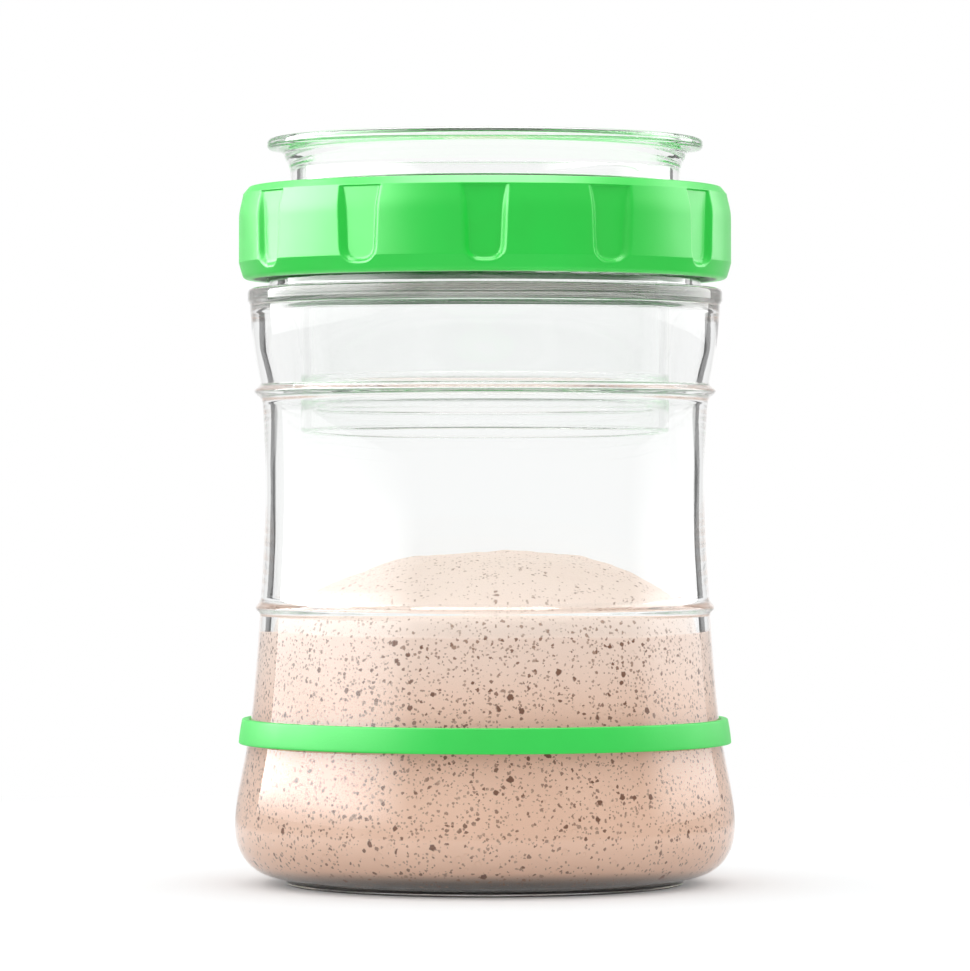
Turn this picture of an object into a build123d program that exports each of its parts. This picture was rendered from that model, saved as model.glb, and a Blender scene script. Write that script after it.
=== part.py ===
from build123d import *

import os

# A sourdough starter jar, in six pieces: a waisted glass jar with a screw neck, a grip ring
# that screws onto it, a clear measuring cup that drops through the ring and closes the jar,
# a soft seal between ring and glass, a band round the jar that marks the level of the
# starter, and the starter itself.
#
# Millimetres, +Z up. The origin is the centre of the foot, on the surface that the jar
# stands on. All but the threads and the ring's scallops is turned about Z, so an outline is
# drawn as points of (radius, level) and revolved.

# Jar: the mouth is the size that the neck, the body, the ring and the cup are all built on
mouth_radius = 41.9
neck_wall = 3.4
neck_height = 15.0
shoulder_width = 4.5
chest_draw = 3.3
throat_flare = 0.85
base_flare = 6.45
foot_inset = 10.7

# Jar, heights from one circle of its outside to the next, from the widest one up
base_level = 12.0
lower_rib_rise = 45.9
waist_rise = 24.1
throat_rise = 21.2
chest_rise = 22.4

# Jar, foot and shoulder
foot_width = 3.4
foot_height = 1.0
foot_rounding = 0.4
punt_height = 2.0
bead_overhang = 0.45
bead_height = 3.4
bead_rounding = 1.3
bead_edge_rounding = 0.3
neck_foot_rounding = 0.3
lip_outer_rounding = 1.2
lip_inner_rounding = 1.0

# How far out and up the heel's points lie on the way from the foot to the widest circle
heel_shares = ((0.52, 0.15), (0.845, 0.44))
# How far in and up the side's points lie on the way from the widest circle to the waist
side_shares = ((0.36, 0.225), (0.71, 0.50), (0.90, 0.76))
side_inner_shares = ((0.45, 0.27), (0.90, 0.60))
# How far out and up the chest's points lie on the way from the upper rib to the bead
chest_shares = ((0.30, 0.20), (0.76, 0.58))
chest_inner_shares = ((0.15, 0.18), (0.63, 0.67))

# Jar, two raised ribs round the outside, each a narrow ridge with hollow flanks that stands
# out from the waist radius by its crest at mid height and by its foot at either end
rib_height = 5.0
lower_rib_crest = 2.1
lower_rib_foot = 0.9
upper_rib_crest = 2.4
upper_rib_foot = 0.6
# How far out and up a rib's points lie on the way from its foot to its crest
rib_shares = ((0.20, 0.36), (0.52, 0.62), (0.86, 0.82))

# Jar, inside
waist_wall = 1.95
base_wall = 3.0
throat_wall = 2.6
chest_wall = 2.5
shoulder_wall = 2.4
shoulder_outer_rounding = 3.0
shoulder_inner_rounding = 1.8
floor_level = 4.6
floor_corner_width = 8.5

# Thread between jar and ring: two right-handed ridges on each piece
thread_starts = 2
thread_pitch = 4.5
thread_turns = 0.72
thread_depth = 1.15
thread_crest_width = 1.0
thread_root_width = 2.3
thread_bite = 0.35
thread_clearance = 0.4
thread_rise = 3.3
thread_take_up = 0.35

# Lip seal
seal_thickness = 1.6
seal_overhang = 0.3
seal_inset = 0.4
seal_rounding = 0.35

# Grip ring
ring_gap = 1.1
ring_wall = 4.85
ring_bevel = 1.05
ring_draft = 1.3
ring_shoulder_drop = 5.5
ring_crease_height = 3.4
ring_flange = 1.7
ring_collar = 2.1
ring_ledge_clearance = 0.35
ring_collar_clearance = 0.4
ring_lead_in = 0.7
ring_crown_rounding = 1.8
ring_shoulder_rounding = 12.0
ring_foot_rounding = 1.1
ring_edge_rounding = 0.3
scallop_count = 12
scallop_depth = 1.7
scallop_top_width = 10.3
scallop_foot_width = 8.7
scallop_foot_height = 1.5
scallop_flank = 2.0
scallop_rounding = 2.6
scallop_floor_rounding = 0.8

# Measuring cup
cup_mouth_gap = 3.2
cup_wall = 2.2
cup_step = 2.25
cup_neck_wall = 2.0
cup_neck_height = 6.0
cup_skirt_height = 7.7
cup_floor_thickness = 2.1
cup_depth = 51.2
cup_flare = 1.65
cup_flare_height = 3.6
cup_rim_width = 3.1
cup_rim_thickness = 2.1
cup_rim_droop = 0.5
cup_floor_rounding = 2.5
cup_heel_rounding = 2.8
cup_skirt_rounding = 0.9
cup_step_rounding = 0.35
cup_step_inner_rounding = 0.9
cup_flare_rounding = 3.0
cup_rim_root_rounding = 1.2
cup_rim_rounding = 0.9
cup_mouth_rounding = 3.4

# Level band
band_level = 29.2
band_height = 5.5
band_thickness = 1.65
band_clearance = 0.3
band_rounding = 0.25

# Starter
starter_level = 52.8
starter_crown = 15.6
starter_clearance = 0.15
# How far out and down the points of the domed top lie on the way from crown to wall
starter_shares = ((0.64, 0.27), (0.90, 0.63))

# One overrun for every cutter
overrun = 1.0

# Levels and radii that follow from the sizes above
neck_radius = mouth_radius + neck_wall
bead_radius = neck_radius + shoulder_width
chest_radius = bead_radius - bead_overhang
waist_radius = chest_radius - chest_draw
throat_radius = waist_radius + throat_flare
base_radius = waist_radius + base_flare
foot_radius = base_radius - foot_inset
lower_rib_level = base_level + lower_rib_rise
waist_level = lower_rib_level + waist_rise
upper_rib_level = waist_level + throat_rise
shoulder_level = upper_rib_level + chest_rise
lip_level = shoulder_level + neck_height
flange_level = lip_level + seal_thickness
ledge_level = flange_level + ring_flange
ring_top = ledge_level + ring_collar
ring_bottom = shoulder_level + ring_gap
ring_bore_radius = neck_radius + thread_depth + thread_clearance
ring_radius = ring_bore_radius + ring_wall
cup_radius = mouth_radius - cup_mouth_gap
cup_neck_radius = cup_radius + cup_step
cup_flare_radius = cup_neck_radius + cup_flare
cup_rim_radius = cup_flare_radius + cup_rim_width
ring_ledge_radius = cup_radius + ring_ledge_clearance
ring_collar_radius = cup_neck_radius + ring_collar_clearance
thread_level = shoulder_level + thread_rise
thread_lead = thread_starts * thread_pitch
cup_step_level = ledge_level + cup_wall
cup_flare_level = ledge_level + cup_neck_height + cup_flare_height
cup_top = cup_flare_level + cup_rim_droop + cup_rim_thickness
cup_floor_level = cup_top - cup_depth
cup_soffit_level = cup_floor_level - cup_floor_thickness
cup_bottom = cup_soffit_level - cup_skirt_height
cup_inner_radius = cup_radius - cup_wall
cup_mouth_radius = cup_neck_radius - cup_neck_wall


def between(start, end, shares):
    """Points on the way from start to end, each at its own share of either distance."""
    return [
        (start[0] + out * (end[0] - start[0]), start[1] + up * (end[1] - start[1]))
        for out, up in shares
    ]


def turned(*edges):
    """The solid that a closed outline in (radius, level) sweeps round the Z axis."""
    return revolve(Plane.XZ * make_face(edges), Axis.Z)


def side(base, waist, shares):
    """The jar's side between the radii at its widest level and at its waist."""
    low = (base, base_level)
    high = (waist, waist_level)
    return Spline(low, *between(low, high, shares), high, tangents=[(0, 1), (0, 1)])


def outer_side(offset):
    """The outside of the jar's side, moved out by an offset."""
    return side(base_radius + offset, waist_radius + offset, side_shares)


def inner_side(offset):
    """Floor, rounded floor corner and side of the jar's inside, moved in by an offset."""
    radius = base_radius - base_wall - offset
    corner = EllipticalCenterArc(
        (radius - floor_corner_width, base_level),
        floor_corner_width,
        base_level - floor_level,
        start_angle=270,
        arc_size=90,
    )
    return [
        Line((0, floor_level), corner @ 0),
        corner,
        side(radius, waist_radius - waist_wall - offset, side_inner_shares),
    ]


def chest(low, high, shares):
    """The jar's flared chest, from a point at the upper rib to one under the shoulder."""
    return Spline(low, *between(low, high, shares), high)


def rib_section(level, crest, foot):
    """The section of a raised rib round the jar, a ridge that stands on the wall."""
    low = (waist_radius + foot, level - rib_height / 2)
    top = (waist_radius + crest, level)
    high = (waist_radius + foot, level + rib_height / 2)
    root = waist_radius - waist_wall / 2
    rising = between(low, top, rib_shares)
    falling = between(high, top, rib_shares)[::-1]
    return make_face(
        [
            Spline(low, *rising, top, *falling, high),
            Polyline(high, (root, high[1]), (root, low[1]), low),
        ]
    )


def threads(radius, depth, level, angle):
    """The screw ridges on a wall of this radius; a depth under zero makes them face in."""
    bite = -thread_bite if depth > 0 else thread_bite
    section = Polyline(
        (bite, -thread_root_width / 2),
        (0, -thread_root_width / 2),
        (depth, -thread_crest_width / 2),
        (depth, thread_crest_width / 2),
        (0, thread_root_width / 2),
        (bite, thread_root_width / 2),
        close=True,
    )
    path = Helix(pitch=thread_lead, height=thread_lead * thread_turns, radius=radius)
    ridge = sweep(Pos(radius, 0, 0) * Plane.XZ * make_face(section), path=path, is_frenet=True)
    turns = [angle + start * 360 / thread_starts for start in range(thread_starts)]
    return [Pos(0, 0, level) * Rot(0, 0, turn) * ridge for turn in turns]


def make_jar():
    """Glass jar: a turned shell with two ribs in its section, and its screw ridges."""
    inner_waist = (waist_radius - waist_wall, waist_level)
    inner_throat = (throat_radius - throat_wall, upper_rib_level)
    inner_chest = (chest_radius - chest_wall, shoulder_level - shoulder_wall - bead_height)
    outer_chest = (chest_radius, shoulder_level - bead_height - bead_overhang)
    outer_throat = (throat_radius, upper_rib_level)
    outer_waist = (waist_radius, waist_level)
    throat_tangent = (throat_radius - waist_radius, (upper_rib_level - waist_level) / 2)
    neck = FilletPolyline(
        inner_chest,
        (chest_radius - chest_wall, shoulder_level - shoulder_wall),
        (mouth_radius, shoulder_level - shoulder_wall),
        (mouth_radius, lip_level),
        (neck_radius, lip_level),
        (neck_radius, shoulder_level),
        (bead_radius, shoulder_level),
        (bead_radius, shoulder_level - bead_height),
        outer_chest,
        radius=[
            shoulder_outer_rounding,
            shoulder_inner_rounding,
            lip_inner_rounding,
            lip_outer_rounding,
            neck_foot_rounding,
            bead_rounding,
            bead_edge_rounding,
        ],
    )
    foot_top = (foot_radius, foot_height)
    widest = (base_radius, base_level)
    heel = Spline(
        foot_top,
        *between(foot_top, widest, heel_shares),
        widest,
        tangents=[(foot_radius, base_level), (0, 1)],
    )
    foot = FilletPolyline(
        foot_top,
        (foot_radius, 0),
        (foot_radius - foot_width, 0),
        (foot_radius - foot_width, foot_height),
        (0, punt_height),
        radius=[foot_rounding, foot_rounding, foot_rounding],
    )
    section = make_face(
        [
            *inner_side(0),
            Line(inner_waist, inner_throat),
            chest(inner_throat, inner_chest, chest_inner_shares),
            neck,
            chest(outer_throat, outer_chest, chest_shares),
            Spline(outer_waist, outer_throat, tangents=[(0, 1), throat_tangent]),
            outer_side(0),
            heel,
            foot,
            Line((0, punt_height), (0, floor_level)),
        ]
    )
    section += rib_section(lower_rib_level, lower_rib_crest, lower_rib_foot)
    section += rib_section(upper_rib_level, upper_rib_crest, upper_rib_foot)
    shell = revolve(Plane.XZ * section, Axis.Z)
    for ridge in threads(neck_radius, thread_depth, thread_level, 0):
        shell += ridge
    return shell


def make_starter():
    """Risen starter: it fills the jar's foot and stands up in a dome."""
    crown = (0, starter_level + starter_crown)
    wall = (waist_radius, starter_level)
    filling = turned(
        *inner_side(starter_clearance),
        Line((waist_radius - waist_wall - starter_clearance, waist_level), (0, waist_level)),
        Line((0, waist_level), (0, floor_level)),
    )
    dome = turned(
        Spline(crown, *between(crown, wall, starter_shares), wall, tangents=[(1, 0), (1, -2)]),
        Polyline(wall, (base_radius, starter_level), (base_radius, 0), (0, 0), crown),
    )
    return filling & dome


def make_level_band():
    """Band round the jar: it follows the glass at an even clearance."""
    gap = band_clearance
    outside = band_clearance + band_thickness
    sleeve = make_face(
        [
            outer_side(gap),
            Line((waist_radius + gap, waist_level), (waist_radius + outside, waist_level)),
            outer_side(outside),
            Line((base_radius + outside, base_level), (base_radius + gap, base_level)),
        ]
    )
    slab = Pos(0, band_level) * Rectangle(
        base_radius + outside + overrun,
        band_height,
        align=(Align.MIN, Align.MIN),
    )
    section = sleeve & slab
    return revolve(Plane.XZ * fillet(section.vertices(), band_rounding), Axis.Z)


def make_lid_seal():
    """Flat soft ring between the glass lip and the grip ring's flange."""
    inner = mouth_radius + seal_inset
    outer = neck_radius + seal_overhang
    return turned(
        FilletPolyline(
            (inner, lip_level),
            (outer, lip_level),
            (outer, flange_level),
            (inner, flange_level),
            radius=seal_rounding,
            close=True,
        )
    )


def scallop_outline(inset, rounding):
    """One scallop seen from outside, drawn smaller by an inset, with its open end up."""
    top = ring_top + overrun
    foot = ring_bottom + scallop_foot_height + inset
    half_top = scallop_top_width / 2 - inset
    half_foot = scallop_foot_width / 2 - inset
    return FilletPolyline(
        (-half_top, top),
        (-half_foot, foot),
        (half_foot, foot),
        (half_top, top),
        radius=[0, rounding, rounding, 0],
        close=True,
    )


def scallop_cutter():
    """A U-shaped groove in the ring's front, with sloping flanks and a flat floor."""
    floor = Plane.XZ.offset(ring_radius - scallop_depth)
    face = Plane.XZ.offset(ring_radius)
    flare = scallop_flank * overrun / scallop_depth
    beyond = Plane.XZ.offset(ring_radius + overrun)
    steps = [
        floor * make_face(scallop_outline(scallop_flank, scallop_floor_rounding)),
        face * make_face(scallop_outline(0, scallop_rounding)),
        beyond * make_face(scallop_outline(-flare, scallop_rounding + flare)),
    ]
    return loft(steps[:2], ruled=True) + loft(steps[1:], ruled=True)


def make_screw_ring():
    """Grip ring: flange and collar for the cup, skirt with scallops, screw ridges inside."""
    ring = turned(
        FilletPolyline(
            (ring_collar_radius, ledge_level),
            (ring_collar_radius, ring_top),
            (ring_radius - ring_draft, ring_top),
            (ring_radius, ring_top - ring_shoulder_drop),
            (ring_radius, ring_bottom + ring_crease_height),
            (ring_radius - ring_bevel, ring_bottom),
            (ring_bore_radius + ring_lead_in, ring_bottom),
            (ring_bore_radius, ring_bottom + ring_lead_in),
            (ring_bore_radius, flange_level),
            (ring_ledge_radius, flange_level),
            (ring_ledge_radius, ledge_level),
            radius=[
                0,
                ring_edge_rounding,
                ring_crown_rounding,
                ring_shoulder_rounding,
                0,
                ring_foot_rounding,
                0,
                0,
                ring_edge_rounding,
                ring_edge_rounding,
                ring_edge_rounding,
            ],
            close=True,
        )
    )
    cutter = scallop_cutter()
    for place in range(scallop_count):
        ring -= Rot(0, 0, place * 360 / scallop_count) * cutter
    valley = 180 / thread_starts
    for ridge in threads(ring_bore_radius, -thread_depth, thread_level + thread_take_up, valley):
        ring += ridge
    return ring


def make_measuring_cup():
    """Clear cup: it hangs by its step on the ring's ledge and is lifted out by its rim."""
    return turned(
        FilletPolyline(
            (0, cup_soffit_level),
            (cup_inner_radius, cup_soffit_level),
            (cup_inner_radius, cup_bottom),
            (cup_radius, cup_bottom),
            (cup_radius, ledge_level),
            (cup_neck_radius, ledge_level),
            (cup_neck_radius, ledge_level + cup_neck_height),
            (cup_flare_radius, cup_flare_level),
            (cup_rim_radius, cup_flare_level + cup_rim_droop),
            (cup_rim_radius, cup_top),
            (cup_mouth_radius, cup_top),
            (cup_mouth_radius, cup_step_level),
            (cup_inner_radius, cup_step_level),
            (cup_inner_radius, cup_floor_level),
            (0, cup_floor_level),
            radius=[
                cup_heel_rounding,
                cup_skirt_rounding,
                cup_skirt_rounding,
                0,
                cup_step_rounding,
                cup_flare_rounding,
                cup_rim_root_rounding,
                cup_rim_rounding,
                cup_rim_rounding,
                cup_mouth_rounding,
                cup_step_inner_rounding,
                cup_step_inner_rounding,
                cup_floor_rounding,
            ],
        ),
        Line((0, cup_floor_level), (0, cup_soffit_level)),
    )


pieces = {
    "jar": make_jar,
    "starter": make_starter,
    "level_band": make_level_band,
    "lid_seal": make_lid_seal,
    "screw_ring": make_screw_ring,
    "measuring_cup": make_measuring_cup,
}

os.makedirs("parts", exist_ok=True)
for name, make in pieces.items():
    export_step(make(), os.path.join("parts", name + ".step"))
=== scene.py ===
import math

import bpy
import numpy as np
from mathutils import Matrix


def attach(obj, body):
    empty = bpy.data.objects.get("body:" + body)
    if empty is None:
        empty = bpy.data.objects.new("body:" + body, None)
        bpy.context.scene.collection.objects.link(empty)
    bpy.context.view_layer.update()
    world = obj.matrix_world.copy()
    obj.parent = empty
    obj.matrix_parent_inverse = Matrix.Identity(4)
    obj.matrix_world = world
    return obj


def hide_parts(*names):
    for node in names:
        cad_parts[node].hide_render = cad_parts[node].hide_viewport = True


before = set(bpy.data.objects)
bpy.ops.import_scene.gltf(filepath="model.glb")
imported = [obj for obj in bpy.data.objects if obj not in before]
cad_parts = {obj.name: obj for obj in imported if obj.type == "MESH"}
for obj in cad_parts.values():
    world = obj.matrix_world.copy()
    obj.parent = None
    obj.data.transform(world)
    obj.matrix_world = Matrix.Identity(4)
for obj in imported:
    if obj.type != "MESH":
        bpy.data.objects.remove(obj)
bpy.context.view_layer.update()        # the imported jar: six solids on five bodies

mm = 0.001               # every shape below is worked out in millimetres
print("frame loaded:", ", ".join(sorted(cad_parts)))


# Outlines are rows of (radius, level), walked so that the solid lies on the left hand side.

def unit(vector):
    return vector / np.linalg.norm(vector)


def roundedCorner(before, corner, after, rounding, steps):
    # The arc that touches both runs at rounding / tan(half the angle between them).
    toBefore, toAfter = unit(before - corner), unit(after - corner)
    half = math.acos(float(np.clip(toBefore @ toAfter, -1, 1))) / 2
    centre = corner + unit(toBefore + toAfter) * rounding / math.sin(half)
    first = corner + toBefore * rounding / math.tan(half) - centre
    last = corner + toAfter * rounding / math.tan(half) - centre
    start = math.atan2(first[1], first[0])
    sweep = (math.atan2(last[1], last[0]) - start + math.pi) % (2 * math.pi) - math.pi
    angles = start + sweep * np.linspace(0, 1, steps + 1)
    return centre + rounding * np.stack([np.cos(angles), np.sin(angles)], 1)


def roundedPath(corners, closed=False, steps=8):
    # A polyline of (radius, level, rounding) with an arc at each corner that has a rounding.
    points = np.array([corner[:2] for corner in corners], float)
    count = len(points)
    parts = []
    for i, corner in enumerate(corners):
        atEnd = not closed and i in (0, count - 1)
        if atEnd or corner[2] == 0:
            parts.append(points[i:i + 1])
        else:
            after = points[(i + 1) % count]
            parts.append(roundedCorner(points[i - 1], points[i], after, corner[2], steps))
    return np.concatenate(parts)


def curveThrough(points, startSlope=None, endSlope=None, steps=40):
    # The cubic curve with even curvature through the points, over their chord length. The
    # slopes at the points solve one small linear system.
    p = np.array(points, float)
    h = np.linalg.norm(np.diff(p, axis=0), axis=1)
    n = len(p)
    system, wanted = np.zeros((n, n)), np.zeros((n, 2))
    for i in range(1, n - 1):
        system[i, i - 1:i + 2] = 1 / h[i - 1], 2 / h[i - 1] + 2 / h[i], 1 / h[i]
        wanted[i] = 3 * (p[i] - p[i - 1]) / h[i - 1] ** 2 + 3 * (p[i + 1] - p[i]) / h[i] ** 2
    for row, slope, near in ((0, startSlope, 1), (n - 1, endSlope, n - 2)):
        system[row, row] = 1
        if slope is not None:
            wanted[row] = unit(np.array(slope, float))
        else:
            system[row, near] = 0.5
            wanted[row] = 1.5 * (p[max(row, near)] - p[min(row, near)]) / h[min(row, near)]
    slopes = np.linalg.solve(system, wanted)
    t = np.linspace(0, 1, steps + 1)[:-1, None]
    spans = [
        (2 * t ** 3 - 3 * t ** 2 + 1) * p[i] + (3 * t ** 2 - 2 * t ** 3) * p[i + 1]
        + h[i] * ((t ** 3 - 2 * t ** 2 + t) * slopes[i] + (t ** 3 - t ** 2) * slopes[i + 1])
        for i in range(n - 1)
    ]
    return np.concatenate(spans + [p[-1:]])


def between(start, end, shares):
    # Points on the way from start to end, each at its own share of either distance.
    start, end = np.array(start, float), np.array(end, float)
    return [start + np.array(share) * (end - start) for share in shares]


def held(path, guard=0.25, longest=2.5, closed=False):
    # Adds points close to both ends of each long run, so that a rounding beside it doesn't
    # bend its shading, and evenly spaced ones along runs longer than the longest.
    nextPoints = np.roll(path, -1, axis=0) if closed else path[1:]
    parts = []
    for a, b in zip(path, nextPoints):
        length = np.linalg.norm(b - a)
        shares = [0.0]
        if length > 3 * guard:
            margin = guard / length
            shares += list(np.linspace(margin, 1 - margin, max(2, int(length / longest) + 1)))
        parts.append(a + np.array(shares)[:, None] * (b - a))
    return np.concatenate(parts + ([] if closed else [path[-1:]]))


def smoothMax(a, b, soft):
    # The larger of two heights, with the crease between them rounded over the soft distance.
    return np.maximum(a, b) + np.maximum(soft - np.abs(a - b), 0) ** 2 / (4 * soft)


def smoothStep(low, high, value):
    t = np.clip((value - low) / (high - low), 0, 1)
    return t * t * (3 - 2 * t)


def meshFromGrid(name, grid, closed, axisEnds=None):
    # A grid of points, one row for each point of the outline and one column for each angle,
    # becomes quads that wrap round the columns, and round the rows too when closed. Otherwise
    # each end runs together in one point on the axis.
    rows, columns = grid.shape[:2]
    points = grid.reshape(-1, 3)
    r = np.arange(rows if closed else rows - 1)[:, None]
    c = np.arange(columns)[None]
    after, low, high = (c + 1) % columns, r * columns, (r + 1) % rows * columns
    loops = np.stack([low + c, low + after, high + after, high + c], -1).reshape(-1)
    totals = np.full(len(loops) // 4, 4)
    if not closed:
        start, end = len(points), len(points) + 1
        points = np.concatenate([points, np.array(axisEnds, float)])
        first, top = np.arange(columns), (rows - 1) * columns
        following = (first + 1) % columns
        startFan = np.stack([np.full(columns, start), following, first], -1)
        endFan = np.stack([top + first, top + following, np.full(columns, end)], -1)
        loops = np.concatenate([loops, startFan.reshape(-1), endFan.reshape(-1)])
        totals = np.concatenate([totals, np.full(2 * columns, 3)])
    mesh = bpy.data.meshes.new(name)
    mesh.vertices.add(len(points))
    mesh.vertices.foreach_set("co", (points * mm).astype(np.float32).ravel())
    mesh.loops.add(len(loops))
    mesh.loops.foreach_set("vertex_index", loops.astype(np.int32))
    mesh.polygons.add(len(totals))
    mesh.polygons.foreach_set("loop_start", (np.cumsum(totals) - totals).astype(np.int32))
    mesh.update(calc_edges=True)
    mesh.validate()
    mesh.polygons.foreach_set("use_smooth", np.ones(len(totals), bool))
    piece = bpy.data.objects.new(name, mesh)
    bpy.context.scene.collection.objects.link(piece)
    return piece


def turnedPiece(name, outline, angles, closed, shape=None):
    # Carries the outline round the axis: x = radius cos(angle), y = radius sin(angle). The
    # shape function may move each (radius, level, angle) of the grid before that.
    body = outline if closed else outline[1:-1]
    radius, level = body[:, :1] + 0 * angles, body[:, 1:] + 0 * angles
    angle = 0 * radius + angles
    if shape is not None:
        radius, level, angle = shape(radius, level, angle)
    grid = np.stack([radius * np.cos(angle), radius * np.sin(angle), level], -1)
    ends = None if closed else [(0, 0, outline[0, 1]), (0, 0, outline[-1, 1])]
    return meshFromGrid(name, grid, closed, ends)


def evenAngles(count):
    return np.linspace(0, 2 * math.pi, count, endpoint=False)[None]


def screwRidges(angle, level, thread):
    # How far a thread stands out at an angle and level: a rounded trapezium across each
    # helix, level = start level + lead * turns, fading out at both of its ends.
    t = thread
    out = np.zeros_like(level)
    for start in range(t["starts"]):
        turns = (angle - math.radians(t["startAngle"])) / (2 * math.pi) - start / t["starts"]
        turns = turns % 1
        away = np.abs(level - t["startLevel"] - t["lead"] * turns)
        flanks = t["rootWidth"] - t["crestWidth"]
        across = smoothStep(0, 1, (t["rootWidth"] / 2 - away) / flanks * 2)
        begun = smoothStep(0, t["runOut"], turns)
        ended = smoothStep(t["turns"] - t["runOut"], t["turns"], turns)
        out = np.maximum(out, t["depth"] * across * begun * (1 - ended))
    return out


# Jar: one turned wall of glass with two raised ribs, a bead and a screw neck. Each rib is
# (level, crest, foot), the last two measured out from the waist. Shares say how far out and
# up a curve's points lie between its ends.

jarShape = dict(
    mouth=41.9, neck=45.3, lip=140.6, ridgesFrom=127.0, ridgesTo=137.6,
    shoulder=124.9, beadTop=124.75, bead=49.8, beadFoot=122.2, chest=49.35, chestTop=121.75,
    throat=46.9, throatLevel=103.2, waist=46.05, waistLevel=82.0, base=52.5, baseLevel=12.0,
    foot=41.8, footWidth=3.4, footHeight=1.0, footRounding=0.4, punt=2.0,
    floor=4.6, floorCorner=(8.5, 7.4), floorRings=(30.0, 15.0, 4.0, 0.0),
    underShoulder=123.2, chestInner=46.85, chestInnerTop=119.8,
    throatInner=44.3, waistInner=44.1, baseInner=49.5,
    ribs=((57.9, 2.1, 0.9), (103.2, 2.4, 0.6)), ribHeight=5.0, ribSoft=0.16, ribHollow=0.95,
    ribReach=2.6, ribMargin=4.2, ribShares=((0.20, 0.36), (0.52, 0.62), (0.86, 0.82)),
    heelShares=((0.52, 0.15), (0.845, 0.44)),
    sideShares=((0.36, 0.225), (0.71, 0.50), (0.90, 0.76)),
    sideInnerShares=((0.45, 0.27), (0.925, 0.60), (0.988, 0.74)),
    chestShares=((0.30, 0.20), (0.76, 0.58)),
    chestInnerShares=((0.15, 0.18), (0.63, 0.67)),
    ripple=0.006, rippleStart=(6, 16), rippleEnd=(112, 119), columns=288,
)
jarThread = dict(starts=2, startAngle=0, startLevel=128.9, lead=9.0, turns=0.72, depth=1.15,
                 rootWidth=2.3, crestWidth=1.0, runOut=0.03)


def jarOuterSide():
    j = jarShape
    low, waist = (j["base"], j["baseLevel"]), (j["waist"], j["waistLevel"])
    throat, top = (j["throat"], j["throatLevel"]), (j["chest"], j["chestTop"])
    rise = (j["throat"] - j["waist"], (j["throatLevel"] - j["waistLevel"]) / 2)
    return np.concatenate([
        curveThrough([low, *between(low, waist, j["sideShares"]), waist], (0, 1), (0, 1))[:-1],
        curveThrough([waist, throat], (0, 1), rise)[:-1],
        curveThrough([throat, *between(throat, top, j["chestShares"]), top]),
    ])


def jarInnerSide(offset=0.0):
    j = jarShape
    low = (j["baseInner"] + offset, j["baseLevel"])
    waist = (j["waistInner"] + offset, j["waistLevel"])
    throat = (j["throatInner"] + offset, j["throatLevel"])
    top = (j["chestInner"] + offset, j["chestInnerTop"])
    return np.concatenate([
        curveThrough([low, *between(low, waist, j["sideInnerShares"]), waist], (0, 1), (0, 1))[:-1],
        np.array([waist]),
        curveThrough([throat, *between(throat, top, j["chestInnerShares"]), top]),
    ])


def floorCurve(push=0.0):
    # The quarter ellipse from the inner wall down to the floor, and the floor to its middle.
    j = jarShape
    wide, high = j["floorCorner"]
    turn = np.linspace(0, -math.pi / 2, 15)
    corner = np.stack([j["baseInner"] - wide + (wide + push) * np.cos(turn),
                       j["baseLevel"] + (high + push) * np.sin(turn)], 1)
    return np.concatenate([corner, [(radius, j["floor"] - push) for radius in j["floorRings"]]])


def ribbedRadius(levels):
    # The wall's radius at each level, or a rib's where that stands further out: a curve
    # through shares of the way from the rib's foot to its crest, and down again.
    j = jarShape
    side = jarOuterSide()
    radius = np.interp(levels, side[:, 1], side[:, 0])
    for level, crest, foot in j["ribs"]:
        half = j["ribHeight"] / 2
        low, high = ((j["waist"] + foot, level + way * half) for way in (-1, 1))
        top = (j["waist"] + crest, level)
        rib = curveThrough([low, *between(low, top, j["ribShares"]), top,
                            *between(high, top, j["ribShares"])[::-1], high])
        bump = np.interp(levels, rib[:, 1], rib[:, 0])
        onRib = np.abs(levels - level) < half
        radius = np.where(onRib, smoothMax(radius, bump, j["ribSoft"]), radius)
    return radius


def sideLevels(bottom, top, counts):
    # Levels up the jar's side, close together over each rib and wide apart between them.
    near, far = jarShape["ribReach"], jarShape["ribMargin"]
    low, high = (rib[0] for rib in jarShape["ribs"])
    runs = ((bottom, low - far), (low - near, low + near), (low + far, high - far),
            (high - near, high + near), (high + far, top))
    return np.concatenate([np.linspace(*run, count) for run, count in zip(runs, counts)])


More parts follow.
